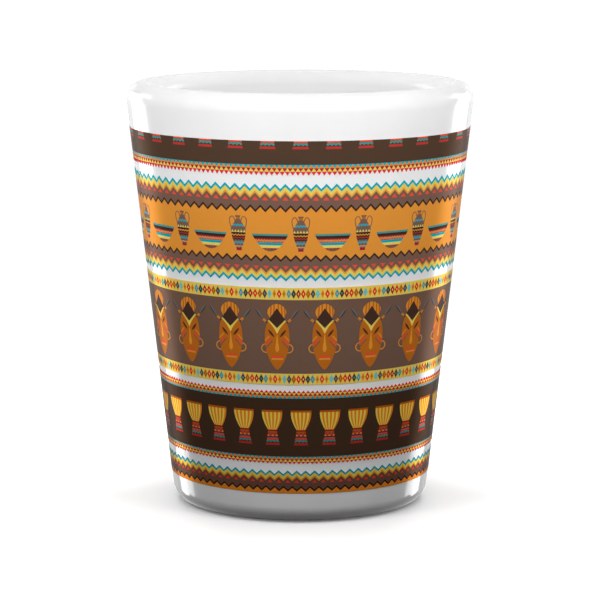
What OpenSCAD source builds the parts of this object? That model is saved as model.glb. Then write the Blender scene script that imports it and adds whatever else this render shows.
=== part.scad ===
// Shot glass: a small tapered cup of glazed white ceramic with a thick base,
// a full round lip, an unglazed foot ring and five printed rings of fired ink.
// Millimetres, +Z up, origin on the axis at the level of the foot ring.

/* [Cup] */
// Height from the foot ring to the top of the lip
cup_h = 60.5; // [50:0.5:75]
// Outer width of the tapered wall where it would meet the lip's level
rim_d = 50; // [44:0.5:56]
// Outer width of the tapered wall where it would meet the foot's level
base_d = 36.2; // [32:0.1:42]
// Wall thickness, which is also the width of the round lip
wall_t = 4.6; // [3:0.1:6]
// Thickness of the base, from the foot's level to the inside floor
floor_t = 10; // [6:0.5:14]
// Radius of the corner between the inside floor and wall
floor_fillet = 4; // [2:0.5:6]

/* [Foot] */
// Radius of the rounded outer edge at the bottom
heel_r = 2.8; // [1.5:0.1:4]
// Width of the recess under the base
recess_d = 24.4; // [18:0.2:26]
// Depth of the recess under the base
recess_h = 1.4; // [0.6:0.1:2.5]
// Radius of the rounded corner inside the recess
recess_fillet = 0.8; // [0.4:0.1:1.2]
// Height at which the glaze stops above the unglazed foot
bare_h = 0.5; // [0.3:0.1:1]

/* [Glaze] */
// Thickness of the white glaze
glaze_t = 0.3; // [0.2:0.05:0.5]

/* [Print] */
// Thickness of the fired ink
ink_t = 0.06; // [0.04:0.01:0.12]
// Gap at the back where the two ends of the printed transfer meet
seam_w = 0.6; // [0.4:0.1:2]
// Upper edge of the print below the lip
print_top = 54.2; // [52:0.1:56]

/* [Hidden] */

$fn = 128;
rim_r = rim_d / 2;
base_r = base_d / 2;
taper = (rim_r - base_r) / cup_h;   // how far the wall leans out per unit of height
lean = atan(taper);
lip_r = wall_t / 2;
beyond = 5;                         // how far cutting shapes run past the cup
hair = 0.005;                       // how far a rounding stands past its corner

// Each printed ring as [lower edge, upper edge], measured down from the top of
// the print. Bare white glaze shows between the rings.
rim_band = [print_top - 4.7, print_top];
jar_band = [print_top - 19.3, print_top - 5.85];
mask_band = [print_top - 34, print_top - 20.25];
drum_band = [print_top - 45.4, print_top - 34.8];
base_band = [print_top - 49.7, print_top - 46.3];

// Radius of the tapered outside at height z
function outside_r(z) = base_r + taper * z;

// Radius at height z of a line parallel to the outside, d inside it
function inset_r(z, d) = outside_r(z) - d / cos(lean);

// Centres of the circles that round the lip, the heel and the floor's corner
lip_z = cup_h - lip_r;
lip_c = [inset_r(lip_z, lip_r), lip_z];
heel_c = [inset_r(heel_r, heel_r), heel_r];
corner_z = floor_t + floor_fillet;
corner_c = [inset_r(corner_z, wall_t + floor_fillet), corner_z];

// The point of a circle that faces the wall squarely, where the two blend
function blend_point(centre, r) = centre + r * [cos(lean), -sin(lean)];

// A circle that rounds a corner, a hair over size so that it crosses the faces
// it blends with and leaves no sliver where they would only touch
module rounding_2d(centre, r) {
    translate(centre) circle(r = r + hair);
}

// Everything between two heights
module between_2d(low, high) {
    translate([0, low]) square([2 * rim_r, high - low]);
}

// Half section of the cup with a filled inside, every face set in by d
module outside_2d(d) {
    lip_inner = blend_point(lip_c, d - lip_r);
    intersection() {
        union() {
            polygon([[0, d], [heel_c[0], d], blend_point(heel_c, heel_r - d),
                     blend_point(lip_c, lip_r - d), lip_inner, [0, lip_inner[1]]]);
            rounding_2d(heel_c, heel_r - d);
            rounding_2d(lip_c, lip_r - d);
        }
        between_2d(d, cup_h - d);
    }
}

// Half section of the drinking space, widened by d on every side
module inside_2d(d) {
    top = cup_h + beyond;
    intersection() {
        union() {
            polygon([[0, floor_t - d], [corner_c[0], floor_t - d], corner_c,
                     blend_point(corner_c, floor_fillet + d),
                     [inset_r(top, wall_t - d), top], [0, top]]);
            rounding_2d(corner_c, floor_fillet + d);
        }
        between_2d(floor_t - d, top);
    }
}

// Half section of the hollow under the base, its faces moved into the clay by d
module recess_2d(d) {
    r = recess_d / 2 + d;
    h = recess_h + d;
    round_r = recess_fillet + d;
    translate([0, -beyond]) square([r, beyond + h - round_r]);
    translate([0, -beyond]) square([r - round_r, beyond + h]);
    translate([r - round_r, h - round_r]) circle(r = round_r);
}

// Half section of the wall, lip and base, every face set in by d
module cup_2d(d) {
    difference() {
        outside_2d(d);
        inside_2d(d);
    }
}

// Fired clay: the cup less its glaze, bare at the foot ring
module clay_body() {
    color("#d9cfbf")
    rotate_extrude() difference() {
        union() {
            cup_2d(glaze_t);
            intersection() {
                cup_2d(0);
                between_2d(0, bare_h);
            }
        }
        recess_2d(glaze_t);
    }
}

// White glaze over the outside, the lip and the drinking space
module white_glaze() {
    color("#f6f6f4")
    rotate_extrude() difference() {
        intersection() {
            cup_2d(0);
            between_2d(bare_h, cup_h + beyond);
        }
        cup_2d(glaze_t);
    }
}

// Glaze lining the hollow under the base, clear of the bare foot ring
module recess_glaze() {
    color("#f6f6f4")
    rotate_extrude() intersection() {
        difference() {
            recess_2d(glaze_t);
            recess_2d(0);
        }
        between_2d(bare_h / 2, floor_t);
    }
}

// One ring of fired ink on the outside, open at the back for the seam
module ink_ring(band) {
    low = band[0];
    high = band[1];
    gap = 2 * asin(seam_w / 2 / outside_r(low));
    proud = ink_t / cos(lean);
    rotate([0, 0, 90 + gap / 2])
    rotate_extrude(angle = 360 - gap)
    polygon([[outside_r(low), low], [outside_r(low) + proud, low],
             [outside_r(high) + proud, high], [outside_r(high), high]]);
}

// Dark ring below the lip
module print_rim_band() { color("#53402f") ink_ring(rim_band); }

// Orange ring of jars and bowls between zigzags
module print_jar_band() { color("#d98c33") ink_ring(jar_band); }

// Brown ring of masks between two yellow edges
module print_mask_band() { color("#684e41") ink_ring(mask_band); }

// Dark ring of drums
module print_drum_band() { color("#382618") ink_ring(drum_band); }

// Zigzag ring above the base
module print_base_band() { color("#d98c33") ink_ring(base_band); }

clay_body();
white_glaze();
recess_glaze();
print_rim_band();
print_jar_band();
print_mask_band();
print_drum_band();
print_base_band();
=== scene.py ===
"""Looks of a glazed ceramic shot glass with five printed rings, built round its CAD model.

The clay, the white glaze and the glaze under the base are turned on a lathe in code. The
print is real geometry: each ring is a thin skin of ink, cut out of flat drawings and wrapped
round the cone. Drawings are in millimetres, with x along the ring and z up."""

import bisect
import math

import bpy
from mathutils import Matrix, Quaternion, Vector
from mathutils.geometry import delaunay_2d_cdt


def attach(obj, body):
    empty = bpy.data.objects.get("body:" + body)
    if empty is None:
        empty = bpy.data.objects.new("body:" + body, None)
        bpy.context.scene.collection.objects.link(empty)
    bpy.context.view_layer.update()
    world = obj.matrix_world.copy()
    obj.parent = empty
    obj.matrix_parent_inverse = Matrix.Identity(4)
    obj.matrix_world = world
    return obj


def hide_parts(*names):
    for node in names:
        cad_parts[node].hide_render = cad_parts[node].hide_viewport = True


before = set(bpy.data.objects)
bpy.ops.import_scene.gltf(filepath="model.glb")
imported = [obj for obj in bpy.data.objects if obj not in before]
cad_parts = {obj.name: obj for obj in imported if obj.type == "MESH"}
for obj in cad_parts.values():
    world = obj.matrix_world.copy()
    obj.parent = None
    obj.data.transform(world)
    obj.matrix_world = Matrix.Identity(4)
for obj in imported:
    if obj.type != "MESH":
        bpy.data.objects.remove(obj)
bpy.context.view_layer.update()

MM = 0.001                      # metres in a millimetre

# ------------------------------------------------------------------ driving sizes, mm
CUP_H = 60.5                    # height to the top of the lip
RIM_R = 25.0                    # outer radius of the tapered wall at the lip's level
BASE_R = 18.1                   # outer radius of the tapered wall at the foot's level
WALL_T = 4.6                    # wall thickness, and the width of the round lip
FLOOR_T = 10.0                  # thickness of the base
FLOOR_FILLET = 4.0              # corner between the inside floor and wall
HEEL_R = 2.8                    # rounded outer edge at the bottom
RECESS_R = 12.2                 # hollow under the base
RECESS_H = 1.4
RECESS_FILLET = 0.8
BARE_H = 0.5                    # where the glaze stops above the foot
GLAZE_T = 0.3                   # thickness of the glaze
GLAZE_EDGE_R = 0.13             # rounding where the glaze ends
FOOT_EDGE_R = 0.25              # worn inner edge of the foot ring

TAPER = (RIM_R - BASE_R) / CUP_H
LEAN = math.atan(TAPER)
LIP_R = WALL_T / 2

TURNS = 256                     # segments round the axis
ARC_STEP = math.radians(6)      # longest step along a rounded corner
WALL_STEP = 2.0                 # longest step along a straight wall, mm
ON_AXIS = 1e-6                  # radius below which a point lies on the axis, mm
SHARP_EDGE = math.radians(40)   # edges that turn by more than this stay crisp

# ------------------------------------------------------------------ printed rings, mm
INK_T = 0.06                    # how far the ink stands off the glaze
INK_SUNK = 0.012                # how far the back of the ink lies in the glaze
SEAM_W = 0.6                    # gap at the back between the two ends of the print
COLUMN = 1.45                   # widest column of a ring's mesh, degrees
ROW = 1.2                       # tallest row of a ring's mesh, mm
MERGE = 1e-4                    # points of a drawing closer than this become one
DIGITS = 5                      # decimals kept, so that points of neighbouring tiles agree


def outside_r(z):
    """Radius of the tapered outside at a height."""
    return BASE_R + TAPER * z


def inset_r(z, depth):
    """Radius at a height of a line parallel to the outside, depth inside it."""
    return outside_r(z) - depth / math.cos(LEAN)


LIP_C = (inset_r(CUP_H - LIP_R, LIP_R), CUP_H - LIP_R)
HEEL_C = (inset_r(HEEL_R, HEEL_R), HEEL_R)
CORNER_Z = FLOOR_T + FLOOR_FILLET
CORNER_C = (inset_r(CORNER_Z, WALL_T + FLOOR_FILLET), CORNER_Z)


# ------------------------------------------------------------------ lathe work
def arc(centre, radius, start, end):
    """Points along an arc from one angle to another, in radians."""
    steps = max(2, math.ceil(abs(end - start) / ARC_STEP))
    angles = [start + (end - start) * k / steps for k in range(steps + 1)]
    return [(centre[0] + radius * math.cos(a), centre[1] + radius * math.sin(a)) for a in angles]


def fill_line(points, longest):
    """The same line with points added so that no step is longer than longest."""
    line = [points[0]]
    for end in points[1:]:
        start = line[-1]
        steps = max(1, math.ceil(math.dist(start, end) / longest))
        line += [(start[0] + (end[0] - start[0]) * k / steps,
                  start[1] + (end[1] - start[1]) * k / steps) for k in range(1, steps + 1)]
    return line


def outer_line(depth, low):
    """The outside from a height on the heel up over the lip and down to the inside floor, set
    in by depth."""
    heel_r = HEEL_R - depth
    start = math.asin((low - HEEL_C[1]) / heel_r)
    heel = arc(HEEL_C, heel_r, start, -LEAN)
    lip = arc(LIP_C, LIP_R - depth, -LEAN, math.pi - LEAN)
    corner = arc(CORNER_C, FLOOR_FILLET + depth, -LEAN, -math.pi / 2)
    return heel + lip + corner + [(0, FLOOR_T - depth)]


def recess_line(depth, low):
    """The hollow under the base from the axis out and down to a height, moved depth into the
    clay."""
    radius = RECESS_R + depth
    top = RECESS_H + depth
    fillet = RECESS_FILLET + depth
    corner = arc((radius - fillet, top - fillet), fillet, math.pi / 2, 0)
    return [(0, top)] + corner + [(radius, low)]


def glaze_section():
    """Half section of the glaze on the outside, the lip and the inside."""
    outside = outer_line(0, BARE_H + GLAZE_EDGE_R)
    inside = outer_line(GLAZE_T, BARE_H)
    end = (outside[0][0] - GLAZE_EDGE_R, BARE_H)
    return [end] + outside + inside[::-1]


def recess_glaze_section():
    """Half section of the glaze lining the hollow under the base."""
    edge = BARE_H / 2
    face = recess_line(0, edge + GLAZE_EDGE_R)
    back = recess_line(GLAZE_T, edge)
    return face + [(face[-1][0] + GLAZE_EDGE_R, edge)] + back[::-1]


def clay_section():
    """Half section of the fired clay, bare at the foot ring."""
    hollow = recess_line(GLAZE_T, FOOT_EDGE_R)
    foot_r = RECESS_R + GLAZE_T
    worn = arc((foot_r + FOOT_EDGE_R, FOOT_EDGE_R), FOOT_EDGE_R, math.pi, 1.5 * math.pi)
    heel_end = math.asin((BARE_H - HEEL_C[1]) / HEEL_R)
    heel = arc(HEEL_C, HEEL_R, -math.pi / 2, heel_end)
    return hollow[:-1] + worn + heel + outer_line(GLAZE_T, BARE_H)


def lathe(name, section):
    """Turns a closed half section about the axis. Points on the axis become single vertices."""
    section = fill_line(section + section[:1], WALL_STEP)[:-1]
    rings, verts = [], []
    for r, z in section:
        start = len(verts)
        count = TURNS if r > ON_AXIS else 1
        for k in range(count):
            angle = 2 * math.pi * k / TURNS
            verts.append((r * math.cos(angle) * MM, r * math.sin(angle) * MM, z * MM))
        rings.append([start + (k % count) for k in range(TURNS)])
    faces = []
    for a, b in zip(rings, rings[1:] + rings[:1]):
        for k in range(TURNS):
            n = (k + 1) % TURNS
            corners = [a[k], b[k], b[n], a[n]]
            face = [v for i, v in enumerate(corners) if v not in corners[:i]]
            if len(face) > 2:
                faces.append(face)
    mesh = bpy.data.meshes.new(name)
    mesh.from_pydata(verts, [], faces)
    obj = bpy.data.objects.new(name, mesh)
    bpy.context.scene.collection.objects.link(obj)
    make_normals_outward(mesh)
    mesh.shade_smooth()
    mesh.set_sharp_from_angle(angle=SHARP_EDGE)
    return obj


def make_normals_outward(mesh):
    """Turns every face outward. The volume is negative if the section ran the other way."""
    volume = 0
    for face in mesh.polygons:
        corners = [mesh.vertices[v].co for v in face.vertices]
        for b, c in zip(corners[1:], corners[2:]):
            volume += corners[0].dot(b.cross(c))
    if volume < 0:
        mesh.flip_normals()


# ------------------------------------------------------------------ flat drawings
class Shape:
    """A closed outline filled with one ink. within is another shape that it can't paint
    outside."""

    def __init__(self, outline, ink, within=None):
        self.outline = outline
        self.ink = ink
        self.within = within


def place(shapes, x, z, scale=1.0):
    """The shapes of a motif, moved to (x, z) and scaled about its own foot."""
    moved = {}
    for shape in shapes:
        outline = [(x + scale * px, z + scale * pz) for px, pz in shape.outline]
        moved[shape] = Shape(outline, shape.ink, moved.get(shape.within))
    return list(moved.values())


def both_sides(right):
    """A closed outline from its right half, listed from bottom to top."""
    return right + [(-x, z) for x, z in reversed(right) if x > 0]


def as_drawn(outline):
    return outline


def flip(outline):
    """The outline mirrored left to right, still running anticlockwise."""
    return [(-x, z) for x, z in reversed(outline)]


def box(left, right, low, high):
    return [(left, low), (right, low), (right, high), (left, high)]


def diamond(x, z, half_w, half_h):
    return [(x, z - half_h), (x + half_w, z), (x, z + half_h), (x - half_w, z)]


def ellipse(x, z, half_w, half_h, steps=20):
    angles = [2 * math.pi * k / steps for k in range(steps)]
    return [(x + half_w * math.cos(a), z + half_h * math.sin(a)) for a in angles]


def curve(points, steps=4):
    """A smooth line through the points."""
    ends = [points[0]] + points + [points[-1]]
    line = []
    for a, b, c, d in zip(ends, ends[1:], ends[2:], ends[3:]):
        for k in range(steps):
            t = k / steps
            line.append(tuple(
                0.5 * (2 * q + (r - p) * t + (2 * p - 5 * q + 4 * r - s) * t ** 2
                       + (3 * q - p - 3 * r + s) * t ** 3)
                for p, q, r, s in zip(a, b, c, d)))
    return line + [points[-1]]


def ribbon(line, width):
    """A band of even width along a line."""
    left, right = [], []
    for k, (x, z) in enumerate(line):
        before = line[max(0, k - 1)]
        after = line[min(len(line) - 1, k + 1)]
        length = math.dist(before, after)
        nx = (before[1] - after[1]) / length * width / 2
        nz = (after[0] - before[0]) / length * width / 2
        left.append((x + nx, z + nz))
        right.append((x - nx, z - nz))
    return right + left[::-1]


def leaf(start, end, width, steps=6):
    """A leaf-shaped outline from one tip to the other, and its two halves."""
    length = math.dist(start, end)
    ax, az = (end[0] - start[0]) / length, (end[1] - start[1]) / length
    right, left = [], []
    for k in range(steps + 1):
        t = k / steps
        off = width / 2 * math.sin(math.pi * t) ** 0.8
        x, z = start[0] + ax * length * t, start[1] + az * length * t
        right.append((x + az * off, z - ax * off))
        left.append((x - az * off, z + ax * off))
    return right + left[-2:0:-1], right


def zigzag(left, right, low, high, teeth):
    """A zigzag line that starts and ends low and has that many upper points."""
    step = (right - left) / (2 * teeth)
    return [(left + step * k, high if k % 2 else low) for k in range(2 * teeth + 1)]


def zigzag_band(left, right, low, rise, thick, teeth):
    """A zigzag of even thickness. rise is the height of its teeth."""
    line = zigzag(left, right, low, low + rise, teeth)
    return line + [(x, z + thick) for x, z in reversed(line)]


# ------------------------------------------------------------------ repeated borders
ZIGZAG_RISE = 0.71
ZIGZAG_LINES = [                # distance from the first line, ink, points outward or inward
    (0.0, "teal", 1),
    (0.4, "yellow", 1),
    (0.96, "amber", 1),
    (1.275, "mauve", 1),
    (2.90, "umber", -1),
    (3.25, "orange", -1)]
ZIGZAG_RED = (1.41, 1.94, 0.43)     # apex, foot and half width of the red triangles
UNDER_RED = 4                   # how many of the zigzags lie under the red triangles


def zigzag_border(width, outer, inner, inward, scale):
    """Nested zigzags from the line at height outer to the height inner, with red triangles.
    inward is -1 when they follow each other down, and 1 when they follow each other up."""
    half = width / 2
    shapes = []
    for distance, ink, points in ZIGZAG_LINES:
        middle = outer + inward * scale * distance
        tip = -inward * points * scale * ZIGZAG_RISE / 2
        line = [(-half, middle - tip), (0, middle + tip), (half, middle - tip)]
        if inward < 0:
            outline = [(-half, inner), (half, inner)] + line[::-1]
        else:
            outline = line + [(half, inner), (-half, inner)]
        shapes.append(Shape(outline, ink))
    apex, foot, half_w = ZIGZAG_RED
    apex = outer + inward * scale * apex
    foot = outer + inward * scale * foot
    half_w *= scale
    if inward < 0:
        triangle = [(-half_w, foot), (half_w, foot), (0, apex)]
    else:
        triangle = [(0, apex), (half_w, foot), (-half_w, foot)]
    red = Shape(triangle, "red")
    return shapes[:UNDER_RED] + [red] + shapes[UNDER_RED:]


def triangle(width, start, end):
    """A triangle as wide as the tile with its foot at height start and its tip at end."""
    half = width / 2
    if end > start:
        return [(-half, start), (half, start), (0, end)]
    return [(0, end), (half, start), (-half, start)]


def triangle_border(width, start, heights, away):
    """Three rows of small triangles that lead from the dark ground out to the white glaze.
    away is 1 when they go up and -1 when they go down."""
    half = width / 2
    first = start + away * heights[0]
    second = first + away * heights[1]
    third = second + away * heights[2]
    return [
        Shape(box(-half, half, min(start, first), max(start, first)), "marigold"),
        Shape(triangle(width, start, first), "cyan"),
        Shape(box(-half, half, min(first, second), max(first, second)), "crimson"),
        Shape(triangle(width, second, first), "yellow"),
        Shape(triangle(width, second, third), "scarlet")]


DIAMOND_PAIRS = {               # ink of each kind of diamond, and of its dot
    "red": ("scarlet", "yellow"),
    "small": ("marigold", "rust"),
    "teal": ("cyan", "marigold"),
    "black": ("umber", "cyan"),
    "crimson": ("crimson", "yellow"),
    "brown": ("rust", "marigold"),
    "mauve": ("plum", "teal"),
    "pale": ("pale_teal", "marigold")}
UPPER_DIAMONDS = ["red", "brown", "mauve", "pale", "small", "red", "small", "teal", "black",
                  "crimson"]
LOWER_DIAMONDS = ["crimson", "black", "teal", "small", "red", "small", "pale", "mauve",
                  "brown", "red"]
DIAMOND_SIZE = (0.33, 0.67)     # half width and half height
SMALL_DIAMOND_SIZE = (0.25, 0.62)
DIAMOND_DOT_SIZE = (0.1, 0.21)


def diamond_border(width, low, high, kinds):
    """A yellow band with a row of diamonds."""
    shapes = [Shape(box(-width / 2, width / 2, low, high), "straw")]
    pitch = width / len(kinds)
    middle = (low + high) / 2
    for k, kind in enumerate(kinds):
        x = (k + 0.5) * pitch - width / 2
        ink, dot = DIAMOND_PAIRS[kind]
        size = SMALL_DIAMOND_SIZE if kind == "small" else DIAMOND_SIZE
        shapes.append(Shape(diamond(x, middle, *size), ink))
        shapes.append(Shape(diamond(x, middle, *DIAMOND_DOT_SIZE), dot))
    return shapes


# ------------------------------------------------------------------ motifs
def jar():
    """A slender two-handled jar, 4.9 mm tall, drawn about the middle of its foot."""
    half = curve(
        [(0.39, 0.3), (0.63, 0.9), (0.9, 1.75), (1.03, 2.6), (1.02, 3.1), (0.8, 3.47),
         (0.42, 4.13), (0.3, 4.36)])
    body = Shape(both_sides(half), "mauve")
    handle = ribbon(curve([(0.42, 4.12), (0.57, 4.55), (0.82, 4.73), (1.1, 4.52), (1.19, 4.14),
                           (1.12, 3.6), (0.98, 3.16)], 3), 0.13)
    shapes = [Shape(handle, "mauve"), Shape(flip(handle), "mauve"), body]
    shapes.append(Shape(box(-1.1, 1.1, 1.52, 2.5), "umber", body))
    bands = [                   # low, rise, thickness, teeth, ink
        (3.29, 0.22, 0.22, 5, "teal"),
        (1.99, 0.17, 0.15, 5, "amber"),
        (1.62, 0.15, 0.13, 5, "brick"),
        (1.41, 0.14, 0.12, 5, "umber"),
        (0.9, 0.2, 0.21, 5, "teal"),
        (0.46, 0.14, 0.13, 4, "sand")]
    for low, rise, thick, teeth, ink in bands:
        outline = zigzag_band(-0.21 * teeth, 0.21 * teeth, low, rise, thick, teeth)
        shapes.append(Shape(outline, ink, body))
    for k in range(-2, 3):
        tooth = [(0.42 * k - 0.18, 2.56), (0.42 * k + 0.18, 2.56), (0.42 * k, 2.9)]
        shapes.append(Shape(tooth, "yellow", body))
    shapes.append(Shape(box(-0.37, 0.37, 0, 0.34), "crimson"))
    shapes.append(Shape(both_sides([(0.25, 4.34), (0.26, 4.64)]), "rust"))
    shapes.append(Shape(both_sides([(0.32, 4.63), (0.39, 4.87)]), "mauve"))
    return shapes


BOWL_HALF_W = 2.54
BOWL_H = 2.43


def bowl():
    """A striped bowl, drawn about the lowest point of its round base."""
    steps = [1, 0.985, 0.95, 0.89, 0.8, 0.68, 0.54, 0.4, 0.26, 0.13, 0]
    half = [(BOWL_HALF_W * (1 - t) ** 0.48, BOWL_H * (1 - t)) for t in steps]
    body = Shape(both_sides(half), "mauve")
    stripes = [                 # low, high, ink
        (2.16, 2.43, "sea"),
        (1.76, 2.16, "umber"),
        (1.21, 1.76, "brick"),
        (0.85, 1.21, "cyan"),
        (0.47, 0.85, "yellow")]
    shapes = [body]
    for low, high, ink in stripes:
        shapes.append(Shape(box(-BOWL_HALF_W, BOWL_HALF_W, low, high), ink, body))
    waves = [(1.43, "sand"), (1.27, "amber")]
    for low, ink in waves:
        line = zigzag_band(-BOWL_HALF_W, BOWL_HALF_W, low, 0.12, 0.09, 13)
        shapes.append(Shape(line, ink, body))
    check = 0.23
    for k in range(-3, 3):
        left = 2 * check * (k + 0.25)
        shapes.append(Shape(box(left, left + check, 0.25, 0.47), "crimson", body))
    return shapes


def mask():
    """A long carved mask with a striped cap, ear rings and two spears behind it, 9.4 mm tall,
    drawn about its chin."""
    shapes = []
    blade, blade_edge = leaf((1.9, 7.16), (3.0, 8.66), 0.38)
    ear = (1.56, 3.04)
    for turned in (as_drawn, flip):
        shapes.append(Shape(turned(ribbon([(1.2, 6.5), (1.97, 7.2)], 0.13)), "umber"))
        shapes.append(Shape(turned(blade), "steel"))
        shapes.append(Shape(turned(blade_edge), "iron"))
        shapes.append(Shape(turned(ribbon([(1.5, 6.82), (1.9, 7.2)], 0.34)), "rust"))
        shapes.append(Shape(turned(ribbon([(1.57, 6.89), (1.83, 7.13)], 0.34)), "caramel"))
        shapes.append(Shape(turned(ribbon([(1.66, 6.97), (1.74, 7.05)], 0.34)), "rust"))
        shapes.append(Shape(turned(ellipse(*ear, 0.67, 0.67)), "caramel"))
        shapes.append(Shape(turned(ellipse(*ear, 0.53, 0.53)), "brown"))
    cap_half = [(0.9, 7.0)] + curve(
        [(1.0, 7.4), (1.2, 7.8), (1.29, 8.17), (1.17, 8.6), (0.87, 8.97), (0.5, 9.22), (0, 9.35)])
    cap = Shape(both_sides(cap_half), "amber")
    shapes.append(cap)
    for x in (-0.9, -0.43, 0.22, 0.73, 1.17):
        stripe = [(x - 0.09, 6.9), (x + 0.09, 6.9), (0.85 * x + 0.09, 9.4), (0.85 * x - 0.09, 9.4)]
        shapes.append(Shape(stripe, "rust", cap))
    face_half = curve(
        [(0, 0), (0.34, 0.27), (0.68, 0.74), (1.12, 1.55), (1.41, 2.4), (1.57, 3.06),
         (1.68, 3.85), (1.69, 4.86), (1.62, 5.65), (1.46, 6.3), (1.19, 6.93)], 2) + [(0, 7.1)]
    face = Shape(both_sides(face_half), "ochre")
    shapes.append(face)
    brow = curve([(0, 5.08), (0.26, 5.62), (0.55, 6.1), (1.22, 6.93)]) + [(1.1, 7.05), (0, 6.2)]
    shapes.append(Shape(both_sides(brow), "yellow"))
    hair = both_sides([(0, 5.9), (1.13, 7.1), (0, 8.74)])
    shapes.append(Shape(hair, "umber"))
    shapes.append(Shape(both_sides(curve(
        [(0, 2.48), (0.2, 2.72), (0.27, 3.13), (0.15, 3.9), (0.07, 4.86), (0, 4.95)])), "caramel"))
    eye, _ = leaf((0.37, 4.6), (1.27, 5.73), 0.31)
    cheeks = [                  # inner end, outer end, width, ink
        ((1.04, 4.8), (1.75, 4.02), 0.2, "marigold"),
        ((0.84, 4.46), (1.75, 3.38), 0.22, "red"),
        ((0.64, 4.12), (1.7, 2.9), 0.15, "mauve")]
    for turned in (as_drawn, flip):
        shapes.append(Shape(turned(eye), "umber"))
        for inner, outer, width, ink in cheeks:
            shapes.append(Shape(turned(ribbon([inner, outer], width)), ink, face))
    shapes.append(Shape(box(-0.75, 0.79, 1.69, 1.95), "red"))
    shapes.append(Shape(box(-0.75, 0.79, 1.41, 1.65), "amber"))
    return shapes


GOBLET_TOP = 4.74
GOBLET_FOOT = 2.2
GOBLET_STRIPES = 5              # orange stripes, with a yellow one before each


def goblet_half_w(z):
    """Half width of the drum's bowl, which swells from its waist to the rim."""
    t = (z - GOBLET_FOOT) / (GOBLET_TOP - GOBLET_FOOT)
    return 0.6 + 0.8 * t * (2 - t)


def goblet_line(side, levels):
    """A line up the drum's bowl. side is -1 at its left edge and 1 at its right edge."""
    return [(side * goblet_half_w(z), z) for z in levels]


def drum():
    """A goblet drum 5 mm tall, drawn about the middle of its foot."""
    levels = [GOBLET_FOOT + (GOBLET_TOP - GOBLET_FOOT) * k / 8 for k in range(9)]
    shapes = [Shape(both_sides(goblet_line(1, levels)), "yellow")]
    for k in range(GOBLET_STRIPES):
        right = 2 * (k + 1) / GOBLET_STRIPES - 1
        left = right - 0.2
        stripe = goblet_line(right, levels) + goblet_line(left, levels)[::-1]
        shapes.append(Shape(stripe, "marigold"))
    shapes.append(Shape(both_sides([(1.4, 4.72), (1.41, 5.0)]), "rust"))
    foot = Shape(both_sides([(0.98, 0), (0.9, 0.4), (0.76, 1.1), (0.63, 1.97)]), "brown")
    shapes.append(foot)
    bands = [                   # low, high, ink
        (0, 0.3, "brick"),
        (0.86, 1.1, "steel"),
        (1.1, 1.26, "plum"),
        (1.26, 1.78, "brick"),
        (1.78, 1.97, "rust")]
    for low, high, ink in bands:
        shapes.append(Shape(box(-1.1, 1.1, low, high), ink, foot))
    shapes.append(Shape(zigzag_band(-1.24, 1.24, 0.68, 0.18, 0.24, 5), "red", foot))
    shapes.append(Shape(zigzag_band(-1.24, 1.24, 0.38, 0.17, 0.24, 5), "sea", foot))
    for x in (-0.26, 0.26):
        shapes.append(Shape(ellipse(x, 1.62, 0.12, 0.12, 8), "steel", foot))
    for x in (-0.57, 0, 0.57):
        tooth = [(x - 0.2, 1.31), (x + 0.2, 1.31), (x, 1.56)]
        shapes.append(Shape(tooth, "amber", foot))
    shapes.append(Shape(box(-0.6, 0.6, 1.97, 2.21), "crimson"))
    return shapes


# ------------------------------------------------------------------ strips of a ring
class Spacing:
    """How a ring's repeats are spaced round the cup. They lie a little closer together at the
    front and back than at the sides. at_low and at_high say, for the ring's two edges, how many
    degrees a point half way to the side is pulled back towards the front."""

    def __init__(self, low, high, at_low, at_high):
        self.low = low
        self.high = high
        self.at_low = at_low
        self.at_high = at_high

    def pull(self, height):
        t = (height - self.low) / (self.high - self.low)
        return self.at_low + (self.at_high - self.at_low) * t

    def turned(self, angle, height):
        """Where a point of an evenly spaced ring ends up, in degrees from the front."""
        return angle - self.pull(height) * math.sin(math.radians(2 * angle))

    def scale(self, angle, height):
        """How much wider than even the spacing is at an angle."""
        steepest = 2 * math.radians(self.pull(height))
        return 1 - steepest * math.cos(math.radians(2 * angle))


class Strip:
    """Part of a ring between two heights, filled with count equal tiles. turn is where the
    middle of a tile lies, in degrees from the front."""

    def __init__(self, low, high, count, spacing, turn):
        self.low = low
        self.high = high
        self.count = count
        self.spacing = spacing
        self.turn = turn
        self.pitch = 360 / count
        middle = (low + high) / 2
        self.width = math.radians(self.pitch) * spacing.scale(0, middle) * outside_r(middle)
        self.shapes = []

    def ground(self, ink):
        half = self.width / 2
        self.shapes.append(Shape(box(-half, half, self.low, self.high), ink))


def even_lines(low, high, longest):
    steps = max(1, math.ceil((high - low) / longest))
    return [low + (high - low) * k / steps for k in range(steps + 1)]


def top_ink(shapes, found):
    """The ink of the last shape painted over a triangle, or None where the glaze is bare."""
    ink = None
    for index in sorted(found):
        shape = shapes[index]
        if shape.within is None or shapes.index(shape.within) in found:
            ink = shape.ink
    return ink


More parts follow.
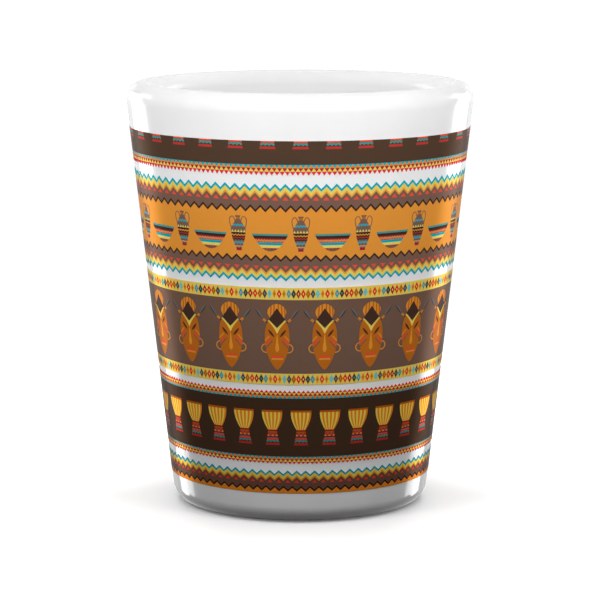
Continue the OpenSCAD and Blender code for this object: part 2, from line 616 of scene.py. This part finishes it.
def cut(shapes, x_lines, z_lines):
    """Cuts overlapping shapes and the grid lines into triangles that don't overlap, and gives
    each as its three points and its ink."""
    left, right, low, high = x_lines[0], x_lines[-1], z_lines[0], z_lines[-1]
    points, edges, faces = [], [], []
    for outline in [box(left, right, low, high)] + [s.outline for s in shapes]:
        faces.append(range(len(points), len(points) + len(outline)))
        points += outline
    grid = [((x, low), (x, high)) for x in x_lines[1:-1]]
    grid += [((left, z), (right, z)) for z in z_lines[1:-1]]
    for start, end in grid:
        edges.append((len(points), len(points) + 1))
        points += [start, end]
    points, _, triangles, _, _, sources = delaunay_2d_cdt(
        [Vector(p) for p in points], edges, [list(f) for f in faces], 1, MERGE, True)
    pieces = []
    for corners, source in zip(triangles, sources):
        ink = top_ink(shapes, {i - 1 for i in source if i > 0})
        if 0 in source and ink:
            a, b, c = [points[i] for i in corners]
            turn = (b - a).cross(c - a)
            ordered = (a, b, c) if turn > 0 else (a, c, b)
            pieces.append(([tuple(p) for p in ordered], ink))
    return pieces


def strip_triangles(strip, seam):
    """Every triangle of a strip as three (angle, height) points and an ink. seam is half the
    angle left open at the back."""
    columns = math.ceil(strip.pitch / COLUMN)
    z_lines = even_lines(strip.low, strip.high, ROW)
    scale = strip.pitch / strip.width
    whole = cut(strip.shapes, [strip.width * (k / columns - 0.5) for k in range(columns + 1)],
                z_lines)
    found = []
    for k in range(-(strip.count // 2) - 1, strip.count // 2 + 2):
        centre = strip.turn + k * strip.pitch
        left = max(centre - strip.pitch / 2, seam - 180)
        right = min(centre + strip.pitch / 2, 180 - seam)
        if right - left < MERGE:
            continue
        pieces = whole
        if right - left < strip.pitch - MERGE:
            window = even_lines((left - centre) / scale, (right - centre) / scale,
                                strip.width / columns)
            pieces = cut(strip.shapes, window, z_lines)
        for corners, ink in pieces:
            points = [(round(centre + x * scale, DIGITS), round(z, DIGITS)) for x, z in corners]
            found.append((points, ink))
    return found


def stitch(triangles, height):
    """Splits triangles along a level line so that the strips above and below share its
    points."""
    height = round(height, DIGITS)
    on_line = sorted({p[0] for corners, _ in triangles for p in corners if p[1] == height})
    stitched = []
    for corners, ink in triangles:
        level = [i for i in range(3) if corners[i][1] == height]
        if len(level) != 2:
            stitched.append((corners, ink))
            continue
        off = 3 - sum(level)
        apex, start, end = corners[off], corners[(off + 1) % 3], corners[(off + 2) % 3]
        low, high = sorted((start[0], end[0]))
        between = on_line[bisect.bisect_right(on_line, low):bisect.bisect_left(on_line, high)]
        if start[0] > end[0]:
            between = between[::-1]
        line = [start] + [(angle, height) for angle in between] + [end]
        for a, b in zip(line, line[1:]):
            stitched.append(([a, b, apex], ink))
    return stitched


def wrap(angle, height, spacing, off):
    """A point of a ring in metres, off millimetres outside the glaze, and its normal."""
    turned = math.radians(spacing.turned(angle, height))
    across, back = math.sin(turned), -math.cos(turned)
    normal = Vector((math.cos(LEAN) * across, math.cos(LEAN) * back, -math.sin(LEAN)))
    surface = Vector((outside_r(height) * across, outside_r(height) * back, height))
    return (surface + normal * off) * MM, normal


def print_ring(name, strips, make_ink):
    """One closed skin of ink for a ring, with a material for each ink in it."""
    spacing = strips[0].spacing
    low = min(s.low for s in strips)
    gap = math.degrees(math.asin(SEAM_W / 2 / outside_r(low)))
    seam = gap / spacing.scale(180, low)
    triangles = [t for s in strips for t in strip_triangles(s, seam)]
    for strip in strips[1:]:
        triangles = stitch(triangles, strip.high)
    index = {}
    for corners, _ in triangles:
        for p in corners:
            index.setdefault(p, len(index))
    count = len(index)
    verts, normals = [None] * (2 * count), [None] * count
    for (angle, height), i in index.items():
        verts[i], normals[i] = wrap(angle, height, spacing, INK_T)
        verts[i + count], _ = wrap(angle, height, spacing, -INK_SUNK)
    inks = sorted({ink for _, ink in triangles})
    faces, face_inks, face_normals = [], [], []

    def add(face, ink, loop_normals):
        faces.append(face)
        face_inks.append(inks.index(ink))
        face_normals.extend(loop_normals)

    open_edges = {}
    for corners, ink in triangles:
        a, b, c = [index[p] for p in corners]
        if len({a, b, c}) < 3:
            continue
        add((a, b, c), ink, [normals[a], normals[b], normals[c]])
        back = (c + count, b + count, a + count)
        add(back, ink, [-normals[c], -normals[b], -normals[a]])
        for start, end in ((a, b), (b, c), (c, a)):
            if open_edges.pop((end, start), None) is None:
                open_edges[(start, end)] = ink
    for (a, b), ink in open_edges.items():
        wall = (verts[b] - verts[a]).cross(normals[a]).normalized()
        add((b, a, a + count, b + count), ink, [wall] * 4)
    mesh = bpy.data.meshes.new(name)
    mesh.from_pydata(verts, [], faces)
    for ink in inks:
        mesh.materials.append(make_ink(ink))
    mesh.polygons.foreach_set("material_index", face_inks)
    mesh.shade_smooth()
    mesh.normals_split_custom_set(face_normals)
    obj = bpy.data.objects.new(name, mesh)
    bpy.context.scene.collection.objects.link(obj)
    return obj


# ------------------------------------------------------------------ the five rings
def half_tile(count):
    """Half the angle of one of count equal tiles, in degrees."""
    return 180 / count


def rim_ring():
    """Dark ground with the feet of a row of drums cut off by the top edge, over triangles."""
    low, high = 49.5, 54.2
    ground_low = 50.97
    drum_foot, drum_scale = 53.12, 1.13
    turn = 0.23
    spacing = Spacing(low, high, 1.4, 1.6)
    ground = Strip(ground_low, high, 32, spacing, turn)
    ground.ground("brown")
    ground.shapes += place(drum(), 0, drum_foot, drum_scale)
    small = Strip(low, ground_low, 200, spacing, turn + half_tile(200))
    small.shapes += triangle_border(small.width, ground_low, (0.46, 0.48, 0.53), -1)
    return [ground, small]


def jar_ring():
    """Orange ground with jars and bowls, between two zigzag borders."""
    low, high = 34.82, 48.37
    ground_low, ground_high = 38.75, 44.2
    upper_line, lower_line = 48.01, 35.16
    motif_foot = 39.0
    aside = 0.6                 # how far the pair stands off the middle of its tile, mm
    turn = 0.3
    spacing = Spacing(low, high, 2.9, 3.1)
    upper = Strip(ground_high, high, 95, spacing, turn + half_tile(95))
    upper.shapes += zigzag_border(upper.width, upper_line, ground_high, -1, 1.0)
    ground = Strip(ground_low, ground_high, 15, spacing, turn + 7.7)
    ground.ground("orange")
    ground.shapes += place(jar(), -ground.width / 4 - aside, motif_foot)
    ground.shapes += place(bowl(), ground.width / 4 - aside + 0.1, motif_foot)
    lower = Strip(low, ground_low, 93, spacing, turn + half_tile(93))
    lower.shapes += zigzag_border(lower.width, lower_line, ground_low, 1, 0.94)
    return [upper, ground, lower]


def mask_ring():
    """Brown ground with masks, between two yellow bands of diamonds."""
    low, high = 20.21, 33.93
    ground_low, ground_high = 21.8, 32.24
    chin = 22.34
    turn = 10.38
    ring = Strip(low, high, 18, Spacing(low, high, 2.8, 4.0), turn)
    ring.ground("brown")
    ring.shapes += diamond_border(ring.width, ground_high, high, UPPER_DIAMONDS)
    ring.shapes += diamond_border(ring.width, low, ground_low, LOWER_DIAMONDS)
    ring.shapes += place(mask(), 0, chin)
    return [ring]


def drum_ring():
    """Dark ground with drums, between two borders of triangles."""
    low, high = 8.82, 19.4
    ground_low, ground_high = 9.87, 18.24
    drum_foot = 11.54
    turn = 0.48
    spacing = Spacing(low, high, 3.0, 3.0)
    above = Strip(ground_high, high, 178, spacing, turn + half_tile(178))
    above.shapes += triangle_border(above.width, ground_high, (0.42, 0.38, 0.36), 1)
    ground = Strip(ground_low, ground_high, 28, spacing, turn)
    ground.ground("brown")
    ground.shapes += place(drum(), 0, drum_foot)
    below = Strip(low, ground_low, 174, spacing, turn + half_tile(174))
    below.shapes += triangle_border(below.width, ground_low, (0.35, 0.37, 0.33), -1)
    return [above, ground, below]


def base_ring():
    """The zigzag border once more, above the foot."""
    low, high = 4.53, 7.88
    line = 7.6
    turn = 0.54
    ring = Strip(low, high, 87, Spacing(low, high, 2.6, 2.6), turn + half_tile(87))
    ring.shapes += zigzag_border(ring.width, line, low, -1, 0.775)
    return [ring]


# ------------------------------------------------------------------ materials
def srgb(red, green, blue):
    """A colour given as it shows on screen, from 0 to 255, as linear light."""
    values = [v / 255 for v in (red, green, blue)]
    return tuple(v / 12.92 if v <= 0.04045 else ((v + 0.055) / 1.055) ** 2.4 for v in values)


MIX_FIRST, MIX_SECOND, MIX_RESULT = 6, 7, 2     # colour sockets of a Mix node


class Nodes:
    """A material's node tree, with short calls that add and link nodes."""

    def __init__(self, name):
        self.material = bpy.data.materials.new(name)
        self.material.use_nodes = True
        self.tree = self.material.node_tree
        self.shader = self.tree.nodes["Principled BSDF"]
        self.place = self.add("ShaderNodeTexCoord").outputs["Object"]

    def add(self, kind, **values):
        """A new node, with some of its settings."""
        node = self.tree.nodes.new(kind)
        for key, value in values.items():
            setattr(node, key, value)
        return node

    def link(self, source, target):
        self.tree.links.new(source, target)

    def noise(self, size, detail=2.0, roughness=0.5):
        """Smooth noise whose features are about size millimetres across."""
        node = self.add("ShaderNodeTexNoise")
        node.inputs["Scale"].default_value = 1 / (size * MM)
        node.inputs["Detail"].default_value = detail
        node.inputs["Roughness"].default_value = roughness
        self.link(self.place, node.inputs["Vector"])
        return node.outputs["Fac"]

    def between(self, factor, low, high, start=0.3, end=0.7):
        """A value that goes from low to high as the factor goes from start to end."""
        node = self.add("ShaderNodeMapRange")
        node.inputs["From Min"].default_value = start
        node.inputs["From Max"].default_value = end
        node.inputs["To Min"].default_value = low
        node.inputs["To Max"].default_value = high
        self.link(factor, node.inputs["Value"])
        return node.outputs["Result"]

    def blend(self, factor, first, second):
        """One colour, going over to another as the factor goes from 0 to 1."""
        node = self.add("ShaderNodeMix", data_type="RGBA")
        self.link(factor, node.inputs["Factor"])
        for key, colour in ((MIX_FIRST, first), (MIX_SECOND, second)):
            if isinstance(colour, tuple):
                node.inputs[key].default_value = (*colour, 1)
            else:
                self.link(colour, node.inputs[key])
        return node.outputs[MIX_RESULT]

    def bump(self, height, depth):
        """Relief of about depth millimetres."""
        node = self.add("ShaderNodeBump")
        node.inputs["Strength"].default_value = 1.0
        node.inputs["Distance"].default_value = depth * MM
        self.link(height, node.inputs["Height"])
        self.link(node.outputs["Normal"], self.shader.inputs["Normal"])


def shade(colour, factor):
    """The colour made lighter or darker."""
    return tuple(v * factor for v in colour)


def glaze_material(name):
    """Glossy white glaze, faintly uneven, as a fired surface is."""
    nodes = Nodes(name)
    white = srgb(241, 241, 241)
    cloud = nodes.between(nodes.noise(7, 3), 0, 1)
    colour = nodes.blend(cloud, white, srgb(238, 238, 238))
    nodes.link(colour, nodes.shader.inputs["Base Color"])
    nodes.link(nodes.between(nodes.noise(3, 2), 0.1, 0.13), nodes.shader.inputs["Roughness"])
    nodes.shader.inputs["IOR"].default_value = 1.5
    nodes.bump(nodes.noise(2.5, 2), 0.004)
    return nodes.material


def clay_material():
    """Unglazed stoneware at the foot: matt, warm and finely speckled."""
    nodes = Nodes("bare_clay")
    grain = nodes.between(nodes.noise(0.5, 4), 0, 1, 0.35, 0.65)
    patch = nodes.between(nodes.noise(4, 3), 0, 1)
    pale = nodes.blend(patch, srgb(226, 219, 205), srgb(212, 203, 186))
    colour = nodes.blend(grain, pale, srgb(198, 186, 168))
    nodes.link(colour, nodes.shader.inputs["Base Color"])
    nodes.link(nodes.between(grain, 0.7, 0.9, 0, 1), nodes.shader.inputs["Roughness"])
    nodes.bump(nodes.noise(0.25, 4, 0.7), 0.03)
    return nodes.material


INK_GLOSS = 0.0015              # how much white the ink mirrors
INK_MOTTLE = 0.015              # how far the ink's colour strays, as a part of it
INKS = {                        # colour of each ink where the light is full
    "teal": srgb(14, 168, 184),
    "cyan": srgb(10, 164, 180),
    "sea": srgb(72, 146, 142),
    "pale_teal": srgb(84, 200, 200),
    "yellow": srgb(230, 206, 96),
    "straw": srgb(232, 202, 92),
    "amber": srgb(232, 154, 60),
    "marigold": srgb(222, 139, 46),
    "orange": srgb(226, 148, 57),
    "rust": srgb(184, 103, 36),
    "ochre": srgb(190, 110, 34),
    "caramel": srgb(226, 150, 50),
    "red": srgb(231, 80, 62),
    "scarlet": srgb(222, 46, 54),
    "crimson": srgb(166, 34, 56),
    "brick": srgb(184, 58, 52),
    "sand": srgb(222, 170, 112),
    "mauve": srgb(120, 92, 79),
    "plum": srgb(98, 64, 70),
    "brown": srgb(81, 61, 47),
    "umber": srgb(64, 45, 37),
    "steel": srgb(112, 114, 112),
    "iron": srgb(72, 70, 70)}


def edge_tint(colour):
    """Keeps the ink's own colour in its shine where the surface is seen at a slant."""
    return tuple((v + 0.24 * (1 - v)) / (v + 0.47 * (1 - v)) for v in colour)


def ink_maker(ring, painted_shade_power, painted_shade_scale, sheen, grounds):
    """Gives a function that makes one ring's inks. Their colours are raised to a power and scaled
    down, which is painted shade: it makes the rings lower on the cup darker. sheen is how much
    of its own colour the ink's shine takes on, and grounds replaces the colour of some inks in
    this ring."""
    colours = dict(INKS, **grounds)

    def make_ink(name):
        # painted shade: the ink's colour is deepened and darkened for the rings lower on the cup
        colour = tuple(painted_shade_scale * v ** painted_shade_power for v in colours[name])
        nodes = Nodes(f"ink_{ring}_{name}")
        mottle = nodes.between(nodes.noise(0.3, 2), 0, 1)
        mottled = nodes.blend(mottle, shade(colour, 1 - INK_MOTTLE), shade(colour, 1 + INK_MOTTLE))
        nodes.link(mottled, nodes.shader.inputs["Base Color"])
        nodes.link(nodes.between(nodes.noise(0.6, 2), 0.23, 0.27),
                   nodes.shader.inputs["Roughness"])
        nodes.shader.inputs["Specular IOR Level"].default_value = INK_GLOSS
        nodes.shader.inputs["Specular Tint"].default_value = (*edge_tint(colour), 1)
        nodes.shader.inputs["Metallic"].default_value = sheen
        nodes.bump(nodes.noise(0.35, 3, 0.6), 0.002)
        return nodes.material

    return make_ink


def floor_material():
    """Plain pale floor that glows, evenly white away from the cup. The glow is painted light,
    weaker near the cup, which paints a shadow round its foot.
    """
    nodes = Nodes("studio_floor")
    cloud = nodes.between(nodes.noise(400, 2), 0, 1)
    colour = nodes.blend(cloud, (0.9, 0.9, 0.9), (0.89, 0.89, 0.89))
    nodes.link(colour, nodes.shader.inputs["Base Color"])
    nodes.shader.inputs["Roughness"].default_value = 0.9
    nodes.shader.inputs["Specular IOR Level"].default_value = 0.0
    nodes.shader.inputs["Emission Color"].default_value = (1, 1, 1, 1)
    away = nodes.add("ShaderNodeVectorMath", operation="LENGTH")
    nodes.link(nodes.place, away.inputs[0])
    # painted light: the floor glows less near the cup, a painted shadow round its foot
    glow = nodes.between(away.outputs["Value"], *FLOOR_GLOW, *FLOOR_GLOW_REACH)
    nodes.link(glow, nodes.shader.inputs["Emission Strength"])
    return nodes.material


# ------------------------------------------------------------------ pieces
def build_cup():
    """The clay, the glaze over it and the glaze under the base, in place of the CAD's."""
    clay = lathe("clay_core", clay_section())
    clay.data.materials.append(clay_material())
    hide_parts("clay_body")
    glaze = lathe("cup_glaze", glaze_section())
    glaze.data.materials.append(glaze_material("white_gloss_glaze"))
    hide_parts("white_glaze")
    lining = lathe("foot_recess_glaze", recess_glaze_section())
    lining.data.materials.append(glaze_material("recess_gloss_glaze"))
    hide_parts("recess_glaze")
    for piece in (clay, glaze, lining):
        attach(piece, "root")


def build_print():
    """The five rings of ink, in place of the CAD's plain ones."""
    mask_grounds = {"brown": srgb(118, 92, 78), "umber": srgb(74, 53, 45),
                    "amber": srgb(224, 146, 54)}
    drum_grounds = {"red": srgb(222, 76, 58)}
    base_grounds = {"amber": srgb(218, 146, 60)}
    # The mask, drum and base rings take deeper, darker inks: painted shade, darker towards the
    # foot.
    rings = [                   # name, strips, slot, painted shade power, painted shade scale, sheen, grounds
        ("rim", rim_ring(), "ink_dark", 1.0, 1.0, 0.12, {}),
        ("jar", jar_ring(), "ink_orange", 1.0, 1.0, 0.14, {}),
        ("mask", mask_ring(), "ink_brown", 1.06, 1.0, 0.18, mask_grounds),
        ("drum", drum_ring(), "ink_dark", 1.18, 0.92, 0.25, drum_grounds),
        ("base", base_ring(), "ink_orange", 1.25, 0.82, 0.26, base_grounds)]
    for name, strips, slot, painted_shade_power, painted_shade_scale, sheen, grounds in rings:
        make_ink = ink_maker(name, painted_shade_power, painted_shade_scale, sheen, grounds)
        ring = print_ring(f"{name}_ring_ink", strips, make_ink)
        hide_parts(f"print_{name}_band")
        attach(ring, "root")


# ------------------------------------------------------------------ studio
FLOOR_SIZE = 8.0                # metres
FLOOR_GLOW = (0.14, 1.05)       # painted glow of the floor near the cup and away from it; the weaker glow near the cup is painted shadow
FLOOR_GLOW_REACH = (0.017, 0.084)    # distances from the axis between which it grows
SKY_LIGHT = 0.05                # even light from everywhere above the floor
REFLECTED_LIGHT = 0.92          # brightness of the room in reflections
CAMERA_AT = (0, -0.397, 0.0906)
CAMERA_PITCH = 8.84             # degrees down
CAMERA_LENS = 167.07            # mm, on a sensor that wide
CAMERA_SENSOR = 36
CUP_FOOT = Vector((0, 0, 0))
CUP_MIDDLE = Vector((0, 0, 0.03))
CUP_MOUTH = Vector((0, 0, 0.06))
TENT = [                        # height, power and azimuths of the softboxes round the cup
    (0.06, 0.0154, (-145, -35, 35, 145)),
    (0.06, 0.0112, (0, 180)),
    (0.06, 0.0076, (-110, -70, 70, 110)),
    (0.12, 0.0238, (-145, -35, 35, 145))]
TENT_R = 0.08
TENT_SIZE = 0.032
TOP_HEIGHT = 0.09               # softbox over the mouth
TOP_SIZE = 0.036
TOP_POWER = 0.0055
PANEL_AWAY = 0.3                # distance of the glossy panels from the cup
STRIPS = [                      # azimuth and span of each tall panel in degrees, its power
    (113.5, 6, 0.015),
    (120.25, 7.5, 0.13),
    (132, 16, 0.34),
    (148, 16, 0.022)]
STRIP_MIDDLE = Vector((0, 0, -0.05))
STRIP_H = 0.266
STRIP_LIFT = 0.05               # how far the panels are moved up along their own height
STRIP_LEAN = 22                 # degrees that the panels lean away from the front
SPOT_AZIMUTH = 127              # panels that show as a white spot at each end of the mouth
SPOT_HEIGHT = 0.152
SPOT_SIZE = (0.1, 0.06)
SPOT_POWER = 0.042


def build_floor():
    """A wide floor that the cup stands on. It shows to the camera only, not in the glaze."""
    half = FLOOR_SIZE / 2
    mesh = bpy.data.meshes.new("floor")
    mesh.from_pydata([(-half, -half, 0), (half, -half, 0), (half, half, 0), (-half, half, 0)],
                     [], [(0, 1, 2, 3)])
    floor = bpy.data.objects.new("floor", mesh)
    bpy.context.scene.collection.objects.link(floor)
    mesh.materials.append(floor_material())
    floor.visible_diffuse = False
    floor.visible_glossy = False


def build_camera():
    """A long lens, a little above the rim."""
    camera = bpy.data.objects.new("camera", bpy.data.cameras.new("camera"))
    bpy.context.scene.collection.objects.link(camera)
    camera.location = CAMERA_AT
    camera.rotation_euler = (math.radians(90 - CAMERA_PITCH), 0, 0)
    camera.data.lens = CAMERA_LENS
    camera.data.sensor_width = CAMERA_SENSOR
    bpy.context.scene.camera = camera


def soft_light(name, azimuth, distance, height, size, power, aim=CUP_MIDDLE, roll=0,
               lift=0, gloss=False):
    """A softbox. azimuth is in degrees from the front, towards +X, and lift moves the softbox
    along its own height. Gloss lights show only as reflections, and the others only light the
    surface."""
    light = bpy.data.lights.new(name, "AREA")
    light.shape = "RECTANGLE"
    light.size, light.size_y = size
    light.energy = power
    obj = bpy.data.objects.new(name, light)
    bpy.context.scene.collection.objects.link(obj)
    turn = math.radians(azimuth)
    obj.location = (distance * math.sin(turn), -distance * math.cos(turn), height)
    facing = (aim - obj.location).to_track_quat("-Z", "Y")
    turned = facing @ Quaternion((0, 0, 1), math.radians(roll))
    obj.rotation_euler = turned.to_euler()
    obj.location += turned @ Vector((0, lift, 0))
    obj.visible_glossy = gloss
    obj.visible_diffuse = not gloss


def build_world():
    """Even soft light from above, and a pale room all round that only reflections show."""
    world = bpy.data.worlds.new("studio")
    bpy.context.scene.world = world
    world.use_nodes = True
    tree = world.node_tree
    background = tree.nodes["Background"]
    background.inputs["Color"].default_value = (1, 1, 1, 1)
    place = tree.nodes.new("ShaderNodeTexCoord")
    split = tree.nodes.new("ShaderNodeSeparateXYZ")
    ramp = tree.nodes.new("ShaderNodeMapRange")
    ramp.inputs["From Min"].default_value = -0.01
    ramp.inputs["From Max"].default_value = 0.01
    ramp.inputs["To Min"].default_value = 0
    ramp.inputs["To Max"].default_value = SKY_LIGHT
    ray = tree.nodes.new("ShaderNodeLightPath")
    seen = tree.nodes.new("ShaderNodeMix")
    seen.inputs["B"].default_value = REFLECTED_LIGHT
    tree.links.new(place.outputs["Generated"], split.inputs["Vector"])
    tree.links.new(split.outputs["Z"], ramp.inputs["Value"])
    tree.links.new(ray.outputs["Is Glossy Ray"], seen.inputs["Factor"])
    tree.links.new(ramp.outputs["Result"], seen.inputs["A"])
    tree.links.new(seen.outputs["Result"], background.inputs["Strength"])


def build_lights():
    """Small softboxes round the cup near its rim, one over its mouth, tall panels behind it that
    show as the bright strips down its sides, and two high ones that show inside its mouth."""
    for height, power, azimuths in TENT:
        for azimuth in azimuths:
            soft_light(f"tent_{height}_{azimuth}", azimuth, TENT_R, height, (TENT_SIZE, TENT_SIZE),
                       power)
    soft_light("over_mouth", 0, 0, TOP_HEIGHT, (TOP_SIZE, TOP_SIZE), TOP_POWER, CUP_FOOT)
    for azimuth, span, power in STRIPS:
        width = 2 * PANEL_AWAY * math.tan(math.radians(span / 2))
        size = (width * math.cos(math.radians(STRIP_LEAN)), STRIP_H)
        for side in (-1, 1):
            soft_light(f"strip_{azimuth * side}", azimuth * side, PANEL_AWAY, STRIP_MIDDLE.z,
                       size, power, STRIP_MIDDLE, -STRIP_LEAN * side, STRIP_LIFT, gloss=True)
    for side in (-1, 1):
        soft_light(f"mouth_spot_{side}", SPOT_AZIMUTH * side, PANEL_AWAY, SPOT_HEIGHT, SPOT_SIZE,
                   SPOT_POWER, CUP_MOUTH, gloss=True)


bpy.context.scene.view_settings.view_transform = "Standard"
build_cup()
build_print()
build_floor()
build_camera()
build_world()
build_lights()
